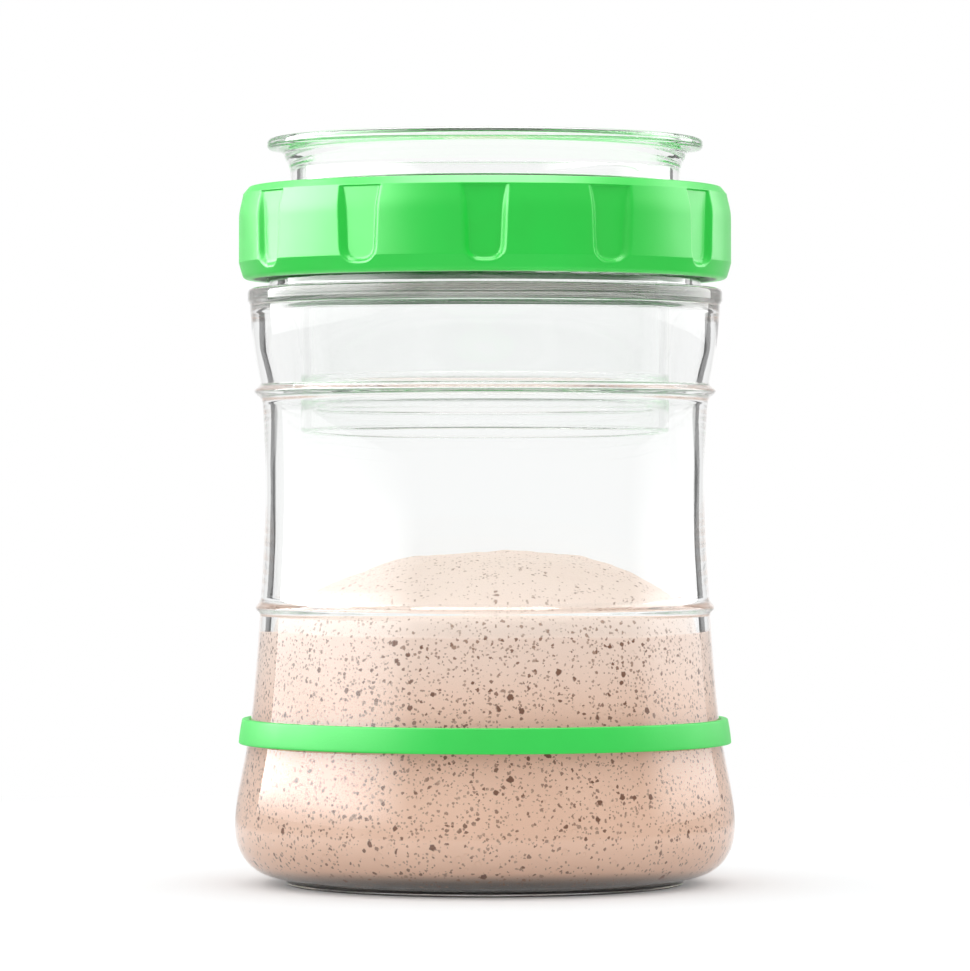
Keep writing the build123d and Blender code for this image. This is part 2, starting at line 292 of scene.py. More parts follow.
def jarOutline():
    # From the middle of the punt out over the foot, up the outside, over the lip, and down
    # the inside to the middle of the floor.
    j = jarShape
    footTop, widest = (j["foot"], j["footHeight"]), (j["base"], j["baseLevel"])
    footInner, edge = j["foot"] - j["footWidth"], j["footRounding"]
    foot = roundedPath([(0, j["punt"], 0), (footInner, j["footHeight"], edge),
                        (footInner, 0, edge), (j["foot"], 0, edge), (*footTop, 0)], steps=5)
    heel = curveThrough([footTop, *between(footTop, widest, j["heelShares"]), widest],
                        (j["foot"], j["baseLevel"]), (0, 1), steps=7)
    levels = sideLevels(j["baseLevel"] + 1.5, j["chestTop"] - 0.8, (24, 41, 22, 41, 12))
    side = np.stack([ribbedRadius(levels), levels], 1)
    neck = j["neck"]
    shoulder = roundedPath([(j["chest"] - 0.06, j["chestTop"] - 0.4, 0),
                            (j["bead"], j["beadFoot"], 0.3), (j["bead"], j["beadTop"], 1.0),
                            (neck, j["shoulder"], 0.3), (neck, j["ridgesFrom"] - 0.2, 0)], steps=6)
    neckLevels = np.linspace(j["ridgesFrom"], j["ridgesTo"], 38)
    ridged = np.stack([0 * neckLevels + neck, neckLevels], 1)
    lip = roundedPath([(neck, j["ridgesTo"] + 0.6, 0), (neck, j["lip"], 1.2),
                       (j["mouth"], j["lip"], 1.0), (j["mouth"], j["underShoulder"], 1.8),
                       (j["chestInner"], j["underShoulder"], 3.0),
                       (j["chestInner"], j["chestInnerTop"], 0)], steps=7)
    # Behind each rib the inside is hollow, nearly as deep as the rib stands out.
    upper = sideLevels(20, j["chestInnerTop"] - 0.5, (17, 41, 22, 41, 10))[::-1]
    innerLevels = np.concatenate([upper, np.linspace(18, 12.6, 5)])
    plain, wall = jarOuterSide(), jarInnerSide()
    hollow = ribbedRadius(innerLevels) - np.interp(innerLevels, plain[:, 1], plain[:, 0])
    innerRadius = np.interp(innerLevels, wall[:, 1], wall[:, 0]) + j["ribHollow"] * hollow
    inside = np.stack([innerRadius, innerLevels], 1)
    return np.concatenate([held(foot, longest=9), heel[1:], side, held(shoulder), ridged,
                           held(lip, longest=1.6), inside, floorCurve()])


def jarWall(radius, level, angle):
    # Screw ridges on the neck, and on the inside the slow waves of pressed glass, a sum of
    # three sines of the angle and the level.
    j = jarShape
    onNeck = (level > j["ridgesFrom"] - 0.1) & (level < j["ridgesTo"] + 0.1)
    onNeck = onNeck & (radius > j["neck"] - 0.01)
    wall = np.interp(level, *jarInnerSide().T[::-1])
    inside = (radius < j["baseInner"] + 0.01) & (np.abs(radius - wall) < 0.05)
    share = smoothStep(*j["rippleStart"], level) * (1 - smoothStep(*j["rippleEnd"], level))
    wave = (np.sin(3 * angle + 0.06 * level) + 0.7 * np.sin(5 * angle - 0.11 * level + 1.3)
            + 0.5 * np.sin(0.21 * level + 2 * angle))
    radius = radius + onNeck * screwRidges(angle, level, jarThread)
    return radius + inside * share * j["ripple"] * wave, level, angle


jarGlass = turnedPiece("jarGlass", jarOutline(), evenAngles(jarShape["columns"]), False, jarWall)
print("jar glass made")


# Starter: fills the foot of the jar, a little into the glass so that it looks wet, and stands
# up in a leaning dome.

starterShape = dict(
    contact=0.07, edgeLevel=52.7, edgeStep=0.25, edgeReach=9, edgeWander=0.2, lumps=0.22,
    lean=3.5, turnOfLean=0.0, domeRadius=44.7, domeStart=5, columns=288,
    dome=((0.0, 68.35), (10.0, 68.05), (20.0, 66.75), (30.0, 63.5), (36.0, 60.85), (40.6, 58.35),
          (43.4, 55.9)),
)


def starterOutline():
    # From the middle of the floor up the jar's inside to the edge, then over the dome.
    s = starterShape
    top, wall = s["edgeLevel"], jarInnerSide(s["contact"])
    levels = np.concatenate([np.linspace(12.6, 18, 5), np.linspace(20, top - 1.2, 26),
                             np.linspace(top - 0.8, top, 4)])
    side = np.stack([np.interp(levels, wall[:, 1], wall[:, 0]), levels], 1)
    edge = (side[-1, 0] - s["edgeStep"], top + s["edgeStep"])
    dome = curveThrough([edge, *s["dome"][::-1]], (-0.25, 1), (-1, 0), steps=12)
    return np.concatenate([floorCurve(s["contact"])[::-1], side, dome])


def starterSurface(radius, level, angle):
    # The dome leans: its points move sideways by lean * (1 - share of the radius squared) and
    # it has low lumps, a sum of a few slow waves, and an edge that wanders up and down.
    s = starterShape
    edge, reach = s["edgeLevel"], s["edgeReach"]
    above = smoothStep(edge, edge + s["domeStart"], level)
    share = np.clip(radius / s["domeRadius"], 0, 1)
    x, y = radius * np.cos(angle), radius * np.sin(angle)
    lumps = (np.sin(0.31 * x + 0.17 * y + 0.4) + np.sin(0.23 * y - 0.19 * x + 2.1)
             + 0.6 * np.sin(0.53 * x + 1.7) * np.sin(0.47 * y)
             + 0.35 * np.sin(0.9 * x - 0.6 * y) * np.sin(0.8 * y + 0.5 * x + 1.0))
    rising = smoothStep(edge - reach, edge, level)
    falling = 1 - smoothStep(edge + 1, edge + reach, level)
    wander = np.sin(2 * angle + 0.7) + 0.6 * np.sin(5 * angle + 2.0) + 0.4 * np.sin(9 * angle)
    level = (level + above * (1 - share ** 4) * s["lumps"] * lumps
             + rising * falling * s["edgeWander"] * wander)
    shift = above * s["lean"] * (1 - share ** 2)
    x, y = x + shift * math.cos(s["turnOfLean"]), y + shift * math.sin(s["turnOfLean"])
    return np.hypot(x, y), level, np.arctan2(y, x)


starterDough = turnedPiece("starterDough", starterOutline(), evenAngles(starterShape["columns"]),
                           False, starterSurface)
print("starter made")


# Level band: follows the glass at an even gap.

bandShape = dict(bottom=29.45, height=5.25, gap=0.3, thickness=1.65, rounding=0.35, crown=0.12,
                 columns=240)


def bandOutline():
    # The jar's wall moved out by the gap, and again by the thickness less a low crown's fall.
    b = bandShape
    side = jarOuterSide()
    levels = np.linspace(b["bottom"], b["bottom"] + b["height"], 9)
    inner = np.interp(levels, side[:, 1], side[:, 0]) + b["gap"]
    fall = b["crown"] * ((levels - levels.mean()) / (b["height"] / 2)) ** 2
    corners = []
    for face in (np.stack([inner + b["thickness"] - fall, levels], 1),
                 np.stack([inner, levels], 1)[::-1]):
        middle = [(*point, 0) for point in face[1:-1]]
        corners += [(*face[0], b["rounding"]), *middle, (*face[-1], b["rounding"])]
    return held(roundedPath(corners, closed=True, steps=6), guard=0.12, closed=True)


levelBand = turnedPiece("levelBand", bandOutline(), evenAngles(bandShape["columns"]), True)


# Lip seal: a flat ring with softly rounded edges and a shallow groove on top, which is rows
# of (radius, depth).

sealShape = dict(
    inner=42.3, outer=45.6, bottom=140.6, top=142.2, rounding=0.35, columns=200,
    groove=((44.6, 0), (44.3, 0.25), (43.6, 0.25), (43.3, 0)), grooveRounding=0.15,
)


def sealOutline():
    s = sealShape
    low, high, edge = s["bottom"], s["top"], s["rounding"]
    groove = [(radius, high - depth, s["grooveRounding"]) for radius, depth in s["groove"]]
    corners = [(s["inner"], low, edge), (s["outer"], low, edge), (s["outer"], high, edge),
               *groove, (s["inner"], high, edge)]
    return held(roundedPath(corners, closed=True, steps=5), guard=0.1, closed=True)


lidSeal = turnedPiece("lidSeal", sealOutline(), evenAngles(sealShape["columns"]), True)
print("band and seal made")


# Screw ring: flange and collar for the cup, a skirt with twelve scallops, ridges inside.

ringShape = dict(
    bottom=126.7, top=146.0, outer=51.7, drop=5.5, crease=130.1, foot=50.65, bore=46.85,
    faceTop=((50.92, 143.8), (50.77, 144.45)), bevelTop=49.5, leadIn=0.7,
    flange=142.2, ledge=143.9, ledgeRadius=39.05, collar=41.35, ridgesFrom=127.5, ridgesTo=138.5,
    scallops=12, scallopDepth=1.5, scallopTop=10.3, scallopFoot=8.7, scallopLevel=128.2,
    scallopRounding=3.6, flank=1.35, soft=0.34, leaning=0.8, recess=1.3, recessFrom=135,
    stretched=(6.6, 14.5), carvedOver=1.2, faded=0.25,
    skirtFrom=48.0, skirtTop=145.5, bevelFrom=143.7, creaseTo=131.0, creaseRun=3.6,
)
ringSteps = dict(bevel=0.12, crease=0.3, skirt=0.5, bore=0.33, flat=9.0)
ringThread = dict(jarThread, startAngle=90, startLevel=129.25)


def ringStep(a, b):
    # Runs that the scallops or ridges shape get many points, and flat ones few.
    r = ringShape
    low, high = sorted((a[1], b[1]))
    if min(a[0], b[0]) > r["skirtFrom"] and high < r["skirtTop"]:
        nearCrease = low < r["creaseTo"] and np.linalg.norm(b - a) < r["creaseRun"]
        return ringSteps["bevel" if low > r["bevelFrom"] else "crease" if nearCrease else "skirt"]
    onBore = max(abs(a[0] - r["bore"]), abs(b[0] - r["bore"])) < 0.01
    return ringSteps["bore" if onBore else "flat"]


def ringOutline():
    # A closed loop up the skirt, over the bevel, down to the ledge and flange, and the bore.
    r = ringShape
    corners = [
        (r["bore"] + r["leadIn"], r["bottom"], 0.15), (r["foot"], r["bottom"], 1.1),
        (r["outer"], r["crease"], 0.6), (r["outer"], r["top"] - r["drop"], 12.0),
        (*r["faceTop"][0], 0), (*r["faceTop"][1], 0.3), (r["bevelTop"], r["top"], 0.35),
        (r["collar"], r["top"], 0.35), (r["collar"], r["ledge"], 0.15),
        (r["ledgeRadius"], r["ledge"], 0.3), (r["ledgeRadius"], r["flange"], 0.3),
        (r["bore"], r["flange"], 0.3), (r["bore"], r["bottom"] + r["leadIn"], 0.15),
    ]
    path = roundedPath(corners, closed=True, steps=6)
    dense = []
    for a, b in zip(path, np.roll(path, -1, axis=0)):
        count = max(1, int(round(np.linalg.norm(b - a) / ringStep(a, b))))
        dense.append(a + (np.arange(count) / count)[:, None] * (b - a))
    return held(np.concatenate(dense), guard=0.2, longest=9, closed=True)


def ringAngles():
    # Columns crowd together over the flanks of each scallop and stand wide between them.
    side = np.concatenate([np.arange(0.4, 2.7, 0.75), np.arange(2.9, 6.5, 0.25),
                           np.arange(7.2, 14.6, 1.75)])
    period = np.radians(np.sort(np.concatenate([-side, side])))
    count = ringShape["scallops"]
    centres = -math.pi / 2 + np.arange(count)[:, None] * 2 * math.pi / count
    return (centres + period).reshape(1, -1)


def ringWall(radius, level, angle):
    # Outside, the wall's radius or the scallop's, whichever is less: a scallop's depth grows
    # with the distance inside its U-shaped outline until its flat floor is reached, and it
    # ends just under the bevel at the top. Inside, the screw ridges stand in from the bore.
    r = ringShape
    period = 2 * math.pi / r["scallops"]
    place = np.round((angle + math.pi / 2) / period) * period - math.pi / 2
    offset = angle - place
    share = np.clip((level - r["scallopLevel"]) / (r["top"] - r["scallopLevel"]), 0, 1)
    recess = np.clip(r["outer"] - radius, 0, r["recess"]) * (level > r["recessFrom"])
    halfWidth = (r["scallopFoot"] + share * (r["scallopTop"] - r["scallopFoot"])) / 2
    halfWidth = halfWidth + r["flank"] * r["leaning"] * recess / r["scallopDepth"]
    # The columns near a scallop spread with its width, so that they keep to its flanks.
    stretch = halfWidth * 2 / (0.5 * (r["scallopFoot"] + r["scallopTop"]))
    falloff = 1 - smoothStep(*np.radians(r["stretched"]), np.abs(offset))
    isOutside = radius > r["skirtFrom"] + 0.5
    offset = offset * (1 + (stretch - 1) * falloff * isOutside)
    angle = place + offset
    qx = np.abs(radius * np.sin(offset)) - halfWidth + r["scallopRounding"]
    qz = r["scallopLevel"] + r["scallopRounding"] - level
    beyond = np.hypot(np.maximum(qx, 0), np.maximum(qz, 0)) + np.minimum(np.maximum(qx, qz), 0)
    inside = r["scallopRounding"] - beyond
    depth = np.clip(inside / r["flank"], -2, 1)
    floor = -smoothMax(-r["scallopDepth"] * depth, -r["scallopDepth"] + 0 * depth, r["soft"])
    bevelLevel = r["faceTop"][1][1]
    floor = floor * (1 - smoothStep(bevelLevel - r["faded"], bevelLevel, level))
    cut = (r["outer"] - (1 - r["leaning"]) * recess - floor) / np.cos(offset)
    carved = -smoothMax(-radius, -cut, r["soft"])
    radius = np.where(isOutside & (inside > -r["carvedOver"]), carved, radius)
    inBore = (level > r["ridgesFrom"]) & (level < r["ridgesTo"])
    inBore = inBore & (np.abs(radius - r["bore"]) < 0.01)
    return radius - inBore * screwRidges(angle, level, ringThread), level, angle


screwRing = turnedPiece("screwRing", ringOutline(), ringAngles(), True, ringWall)
print("screw ring made")


# Measuring cup: clear, with a stepped neck, a flared rim and a skirt under its floor.

cupShape = dict(
    inner=36.5, outer=38.7, neck=40.95, neckInner=38.95, ledge=143.9, step=146.1, neckTop=149.9,
    flare=42.6, flareLevel=153.5, rim=45.7, rimLevel=154.0, top=156.1,
    floor=104.9, soffit=102.8, bottom=95.1, edge=0.9, columns=256,
)


def cupOutline():
    # From the middle of the soffit down the skirt, up the outside, over the rim and down the
    # inside to the middle of the floor.
    c = cupShape
    edge = c["edge"]
    corners = [
        (0, c["soffit"], 0), (c["inner"], c["soffit"], 2.8), (c["inner"], c["bottom"], edge),
        (c["outer"], c["bottom"], edge), (c["outer"], c["ledge"], 0.2),
        (c["neck"], c["ledge"], 0.35), (c["neck"], c["neckTop"], 3.0),
        (c["flare"], c["flareLevel"], 1.2), (c["rim"], c["rimLevel"], edge),
        (c["rim"], c["top"], edge), (c["neckInner"], c["top"], 1.2),
        (c["neckInner"], c["step"], edge), (c["inner"], c["step"], edge),
        (c["inner"], c["floor"], 2.5), (0, c["floor"], 0),
    ]
    return held(roundedPath(corners, steps=9), guard=0.3, longest=3.5)


measuringCup = turnedPiece("measuringCup", cupOutline(), evenAngles(cupShape["columns"]), False)
print("measuring cup made")


# Nodes, and the shared effects, each a node group that puts out numbers only.

def link(tree, start, end):
    tree.links.new(start, end)


def put(tree, socket, value):
    # A number or a colour goes on the socket itself, and a node's output is linked to it.
    if isinstance(value, (int, float)):
        socket.default_value = value
    elif isinstance(value, tuple):
        socket.default_value = (*value, 1)
    else:
        link(tree, value, socket)


def mathNode(tree, operation, first, second, clamp=False):
    node = tree.nodes.new("ShaderNodeMath")
    node.operation, node.use_clamp = operation, clamp
    put(tree, node.inputs[0], first)
    put(tree, node.inputs[1], second)
    return node.outputs[0]


def times(tree, first, second):
    return mathNode(tree, "MULTIPLY", first, second)


def larger(tree, first, second):
    return mathNode(tree, "MAXIMUM", first, second)


def noiseNode(tree, vector, scale, detail, rough):
    node = tree.nodes.new("ShaderNodeTexNoise")
    names = ("Vector", "Scale", "Detail", "Roughness")
    for name, value in zip(names, (vector, scale, detail, rough)):
        put(tree, node.inputs[name], value)
    return node.outputs["Fac"]


def rangeNode(tree, value, low, high, toLow=0.0, toHigh=1.0, smooth=True):
    node = tree.nodes.new("ShaderNodeMapRange")
    node.interpolation_type = "SMOOTHSTEP" if smooth else "LINEAR"
    names = ("Value", "From Min", "From Max", "To Min", "To Max")
    for name, number in zip(names, (value, low, high, toLow, toHigh)):
        put(tree, node.inputs[name], number)
    return node.outputs["Result"]


def mixColours(tree, factor, first, second):
    node = tree.nodes.new("ShaderNodeMix")
    node.data_type = "RGBA"
    for index, value in ((0, factor), (6, first), (7, second)):
        put(tree, node.inputs[index], value)
    return node.outputs[2]


def axesOf(tree, vector):
    node = tree.nodes.new("ShaderNodeSeparateXYZ")
    link(tree, vector, node.inputs[0])
    return node.outputs


def lengthOf(tree, vector):
    node = tree.nodes.new("ShaderNodeVectorMath")
    node.operation = "LENGTH"
    link(tree, vector, node.inputs[0])
    return node.outputs["Value"]


def coordinates(tree, kind):
    return tree.nodes.new("ShaderNodeTexCoord").outputs[kind]


def lightPath(tree):
    return tree.nodes.new("ShaderNodeLightPath").outputs


def newGroup(name, numbers, outputs):
    # A node group with a Vector input, a named input for each number, and named outputs.
    group = bpy.data.node_groups.new(name, "ShaderNodeTree")
    face = group.interface
    face.new_socket(name="Vector", in_out="INPUT", socket_type="NodeSocketVector")
    for label, value in numbers.items():
        socket = face.new_socket(name=label, in_out="INPUT", socket_type="NodeSocketFloat")
        socket.default_value = value
    for label in outputs:
        face.new_socket(name=label, in_out="OUTPUT", socket_type="NodeSocketFloat")
    given = group.nodes.new("NodeGroupInput").outputs
    return group, given, group.nodes.new("NodeGroupOutput").inputs


def makeMouldGrain():
    # Fine moulded grain on slow waves as a height, and broad patches as a mask.
    group, given, out = newGroup(
        "mouldGrain", {"Grain Scale": 2400.0, "Wave Scale": 60.0, "Wave Share": 0.4},
        ("Height", "Patch"))
    grain = noiseNode(group, given["Vector"], given["Grain Scale"], 2.0, 0.6)
    wave = noiseNode(group, given["Vector"], given["Wave Scale"], 1.5, 0.4)
    waves = times(group, wave, given["Wave Share"])
    link(group, mathNode(group, "ADD", grain, waves), out["Height"])
    link(group, noiseNode(group, given["Vector"], 38.0, 3.0, 0.55), out["Patch"])
    return group


def makeHandling():
    # Marks of use: faint wipe smears, drawn out along the height.
    group, given, out = newGroup("handling", {"Smear Scale": 45.0}, ("Smear",))
    mapping = group.nodes.new("ShaderNodeMapping")
    mapping.inputs["Rotation"].default_value = (0.3, 0.2, 0.9)
    mapping.inputs["Scale"].default_value = (1.0, 1.0, 0.28)
    link(group, given["Vector"], mapping.inputs["Vector"])
    smear = noiseNode(group, mapping.outputs[0], given["Smear Scale"], 4.0, 0.6)
    link(group, rangeNode(group, smear, 0.5, 0.78), out["Smear"])
    return group


def makeSpecks():
    # Round flecks of bran: a fleck fills a cell of a random pattern out to a radius that
    # differs from cell to cell, and only the cells under the share have one.
    group, given, out = newGroup(
        "branSpecks", {"Scale": 400.0, "Radius": 0.3, "Share": 0.4}, ("Mask", "Tone"))
    cells = group.nodes.new("ShaderNodeTexVoronoi")
    cells.feature = "F1"
    link(group, given["Vector"], cells.inputs["Vector"])
    link(group, given["Scale"], cells.inputs["Scale"])
    parts = group.nodes.new("ShaderNodeSeparateColor")
    link(group, cells.outputs["Color"], parts.inputs[0])
    size = rangeNode(group, parts.outputs[1], 0.0, 1.0, 0.45, 1.0, smooth=False)
    radius = times(group, given["Radius"], size)
    inner = times(group, radius, 0.72)
    disc = rangeNode(group, cells.outputs["Distance"], inner, radius, 1.0, 0.0)
    there = mathNode(group, "LESS_THAN", parts.outputs[0], given["Share"])
    link(group, times(group, disc, there), out["Mask"])
    link(group, parts.outputs[2], out["Tone"])
    return group


mouldGrain, handling, branSpecks = makeMouldGrain(), makeHandling(), makeSpecks()


def placeGroup(tree, group, vector, values):
    node = tree.nodes.new("ShaderNodeGroup")
    node.node_tree = group
    link(tree, vector, node.inputs["Vector"])
    for name, value in values.items():
        put(tree, node.inputs[name], value)
    return node.outputs


def newMaterial(name):
    material = bpy.data.materials.new(name)
    material.use_nodes = True
    tree = material.node_tree
    return material, tree, tree.nodes["Principled BSDF"]


def bumpNode(tree, height, distance):
    node = tree.nodes.new("ShaderNodeBump")
    node.inputs["Distance"].default_value = distance
    link(tree, height, node.inputs["Height"])
    return node.outputs["Normal"]


def mixShaders(tree, factor, first, second):
    node = tree.nodes.new("ShaderNodeMixShader")
    for socket, value in zip(node.inputs, (factor, first.outputs[0], second.outputs[0])):
        link(tree, value, socket)
    link(tree, node.outputs[0], tree.nodes["Material Output"].inputs["Surface"])


# Clear finishes: refracting for the camera, and see-through for light on its way to what is
# inside.

glassLook = dict(
    colour=(0.990, 0.996, 0.993), ior=1.5, roughLow=0.0, roughHigh=0.006, smearScale=45.0,
    waveScale=60.0, waveHeight=0.00003,
    shade=(0.985, 0.99, 0.988), edgeShade=(0.9, 0.91, 0.905), edgeBlend=0.2,
)
cupLook = dict(glassLook, colour=(0.991, 0.995, 0.993), roughLow=0.008, roughHigh=0.02,
               waveScale=45.0)


def clearMaterial(name, look):
    material, tree, shader = newMaterial(name)
    place = coordinates(tree, "Object")
    put(tree, shader.inputs["Base Color"], look["colour"])
    put(tree, shader.inputs["Transmission Weight"], 1.0)
    put(tree, shader.inputs["IOR"], look["ior"])
    smear = placeGroup(tree, handling, place, {"Smear Scale": look["smearScale"]})["Smear"]
    rough = rangeNode(tree, smear, 0.0, 1.0, look["roughLow"], look["roughHigh"], smooth=False)
    link(tree, rough, shader.inputs["Roughness"])
    waves = noiseNode(tree, place, look["waveScale"], 1.0, 0.3)
    link(tree, bumpNode(tree, waves, look["waveHeight"]), shader.inputs["Normal"])
    facing = tree.nodes.new("ShaderNodeLayerWeight")
    facing.inputs["Blend"].default_value = look["edgeBlend"]
    clear = tree.nodes.new("ShaderNodeBsdfTransparent")
    shade = mixColours(tree, facing.outputs["Facing"], look["shade"], look["edgeShade"])
    link(tree, shade, clear.inputs["Color"])
    paths = lightPath(tree)
    mixShaders(tree, larger(tree, paths["Is Shadow Ray"], paths["Is Diffuse Ray"]), shader, clear)
    return material


# Green plastic of the ring, with painted shade in its bore, where a dark green and less reflection
# stand in for the shade inside the ring, and the softer green of the band. What the band
# throws on the starter beside it is a brown shade, not green light.

ringLook = dict(
    colour=(0.010, 0.760, 0.062), deep=(0.007, 0.720, 0.052), specular=0.8,
    rough=0.34, roughSpan=0.06, grain=0.000012, grainScale=2600.0, waveScale=55.0,
    # The bore's colour and reflection are painted shade, not the plastic's own.
    boreShadeColour=(0.003, 0.110, 0.010), boreShadeSpecular=0.1, boreFrom=0.0480, boreTo=0.0492,
    boreTop=0.1430,
)
bandLook = dict(
    colour=(0.036, 0.770, 0.098), deep=(0.028, 0.720, 0.084), specular=0.5,
    rough=0.42, roughSpan=0.08, grain=0.00002, grainScale=1900.0, waveScale=80.0,
    bounceColour=(0.26, 0.21, 0.17),
)


def boreShadeMask(tree, place, look):
    # Where the ring's painted shade goes: one inside the radius of the bore and below the flange,
    # zero on all outer faces.
    axes = axesOf(tree, place)
    flat = tree.nodes.new("ShaderNodeCombineXYZ")
    link(tree, axes["X"], flat.inputs["X"])
    link(tree, axes["Y"], flat.inputs["Y"])
    radius = lengthOf(tree, flat.outputs[0])
    within = rangeNode(tree, radius, look["boreFrom"], look["boreTo"], 1.0, 0.0)
    return times(tree, within, mathNode(tree, "LESS_THAN", axes["Z"], look["boreTop"]))


def greenMaterial(name, look):
    material, tree, shader = newMaterial(name)
    place = coordinates(tree, "Object")
    grain = placeGroup(tree, mouldGrain, place, {
        "Grain Scale": look["grainScale"], "Wave Scale": look["waveScale"], "Wave Share": 1.5})
    smear = placeGroup(tree, handling, place, {"Smear Scale": 70.0})["Smear"]
    patch = rangeNode(tree, grain["Patch"], 0.35, 0.65)
    tone = mixColours(tree, patch, look["colour"], look["deep"])
    put(tree, shader.inputs["Specular IOR Level"], look["specular"])
    if "boreTop" in look:
        # Painted shade in the bore: a dark green and less reflection.
        bore = boreShadeMask(tree, place, look)
        tone = mixColours(tree, bore, tone, look["boreShadeColour"])
        shine = rangeNode(tree, bore, 0.0, 1.0, look["specular"], look["boreShadeSpecular"],
                          smooth=False)
        link(tree, shine, shader.inputs["Specular IOR Level"])
    if "bounceColour" in look:
        tone = mixColours(tree, lightPath(tree)["Is Diffuse Ray"], tone, look["bounceColour"])
    link(tree, tone, shader.inputs["Base Color"])
    low, high = look["rough"] - look["roughSpan"], look["rough"] + look["roughSpan"]
    rough = rangeNode(tree, grain["Patch"], 0.3, 0.7, low, high, smooth=False)
    rough = mathNode(tree, "SUBTRACT", rough, times(tree, smear, 0.05), clamp=True)
    link(tree, rough, shader.inputs["Roughness"])
    link(tree, bumpNode(tree, grain["Height"], look["grain"]), shader.inputs["Normal"])
    return material


# Starter: pale dough with bran flecks of three sizes. Its heights are in metres over the
# floor, and each size of fleck is (scale, radius, share).

# The pale colour and its levels are painted light over the top and the dome, and the dark colour
# under the starter with its levels is painted shade.
doughLook = dict(
    body=(0.90, 0.595, 0.445), bottom=(0.86, 0.56, 0.415), pale=(0.95, 0.76, 0.66),
    under=(0.15, 0.135, 0.125), fleck=(0.21, 0.092, 0.050), paleFleck=(0.44, 0.275, 0.20),
    paintedAirLevels=(0.0515, 0.0545), paintedTopLight=(0.030, 0.053), paintedTopLightMost=0.8, underside=(0.0046, 0.0064),
    thinning=(0.049, 0.060), thinnest=0.35, lowThinning=(0.006, 0.018), lowThinnest=0.55,
    fine=(1250.0, 0.46, 0.95), medium=(800.0, 0.42, 0.60), coarse=(400.0, 0.32, 0.30),
    fineStrength=0.75, jitter=0.0008, jitterScale=1500.0, rough=0.62, pores=0.00016,
)


def bentPlace(tree, place, scale, distance):
    # The place moved about by a noise in each direction, so that flecks get uneven outlines.
    noise = tree.nodes.new("ShaderNodeTexNoise")
    noise.inputs["Scale"].default_value, noise.inputs["Detail"].default_value = scale, 1.0
    link(tree, place, noise.inputs["Vector"])
    offset = tree.nodes.new("ShaderNodeVectorMath")
    offset.operation = "MULTIPLY_ADD"
    link(tree, noise.outputs["Color"], offset.inputs[0])
    offset.inputs[1].default_value = (distance, distance, distance)
    link(tree, place, offset.inputs[2])
    return offset.outputs[0]


def doughMaterial():
    d = doughLook
    material, tree, shader = newMaterial("starterDough")
    place = coordinates(tree, "Object")
    height = axesOf(tree, place)["Z"]
    cloud = noiseNode(tree, place, 55.0, 3.0, 0.55)
    # Painted light and shade: the dough is painted paler upwards and paler still above the line
    # where it leaves the glass, standing in for the light from above and the glass's reflection
    # over the gap, and painted dark under it, standing in for the shade beneath it.
    paintedAirLight = rangeNode(tree, height, *d["paintedAirLevels"])
    tone = mixColours(tree, rangeNode(tree, cloud, 0.35, 0.65), d["body"], d["bottom"])
    paintedTopLight = rangeNode(tree, height, *d["paintedTopLight"], 0.0, d["paintedTopLightMost"])
    tone = mixColours(tree, paintedTopLight, tone, d["pale"])
    tone = mixColours(tree, paintedAirLight, tone, d["pale"])
    # Painted shade under the starter.
    tone = mixColours(tree, rangeNode(tree, height, *d["underside"], 1.0, 0.0), tone, d["under"])
    # Flecks stand in clusters, and are fewer in the air and close to the floor.
    crowd = rangeNode(tree, height, *d["thinning"], 1.0, d["thinnest"])
    crowd = times(tree, crowd, rangeNode(tree, height, *d["lowThinning"], d["lowThinnest"], 1.0))
    clusters = noiseNode(tree, place, 130.0, 2.0, 0.6)
    crowd = times(tree, crowd, rangeNode(tree, clusters, 0.35, 0.65, 0.55, 1.25, smooth=False))
    bent = bentPlace(tree, place, d["jitterScale"], d["jitter"])
    fine, medium, coarse = [
        placeGroup(tree, branSpecks, bent,
                   {"Scale": scale, "Radius": radius, "Share": times(tree, crowd, share)})
        for scale, radius, share in (d["fine"], d["medium"], d["coarse"])]
    # The flecks are painted paler above that line too, for the same painted reflection.
    ink = mixColours(tree, paintedAirLight, d["fleck"], d["paleFleck"])
    warm = mixColours(tree, medium["Tone"], ink, d["paleFleck"])
    tone = mixColours(tree, times(tree, fine["Mask"], d["fineStrength"]), tone, warm)
    tone = mixColours(tree, medium["Mask"], tone, warm)
    tone = mixColours(tree, coarse["Mask"], tone, ink)
    link(tree, tone, shader.inputs["Base Color"])
    pores = placeGroup(tree, branSpecks, place, {"Scale": 520.0, "Radius": 0.4, "Share": 0.35})
    lumps = noiseNode(tree, place, 300.0, 4.0, 0.6)
    lift = mathNode(tree, "SUBTRACT", lumps, times(tree, pores["Mask"], 0.5))
    lift = mathNode(tree, "ADD", lift, times(tree, coarse["Mask"], 0.6))
    link(tree, bumpNode(tree, lift, d["pores"]), shader.inputs["Normal"])
    rough = rangeNode(tree, cloud, 0.3, 0.7, d["rough"] - 0.08, d["rough"] + 0.1, smooth=False)
    link(tree, rough, shader.inputs["Roughness"])
    return material


# Lip seal: pale rubber.

sealLook = dict(colour=(0.78, 0.79, 0.76), deep=(0.70, 0.71, 0.68), rough=0.45, roughSpan=0.07,
                grain=0.00002, grainScale=1800.0, waveScale=90.0, waveShare=0.8)


def sealMaterial():
    s = sealLook
    material, tree, shader = newMaterial("clearRubber")
    grain = placeGroup(tree, mouldGrain, coordinates(tree, "Object"), {
        "Grain Scale": s["grainScale"], "Wave Scale": s["waveScale"], "Wave Share": s["waveShare"]})
    tone = mixColours(tree, grain["Patch"], s["colour"], s["deep"])
    link(tree, tone, shader.inputs["Base Color"])
    low, high = s["rough"] - s["roughSpan"], s["rough"] + s["roughSpan"]
    rough = rangeNode(tree, grain["Patch"], 0.3, 0.7, low, high, smooth=False)
    link(tree, rough, shader.inputs["Roughness"])
    link(tree, bumpNode(tree, grain["Height"], s["grain"]), shader.inputs["Normal"])
    return material


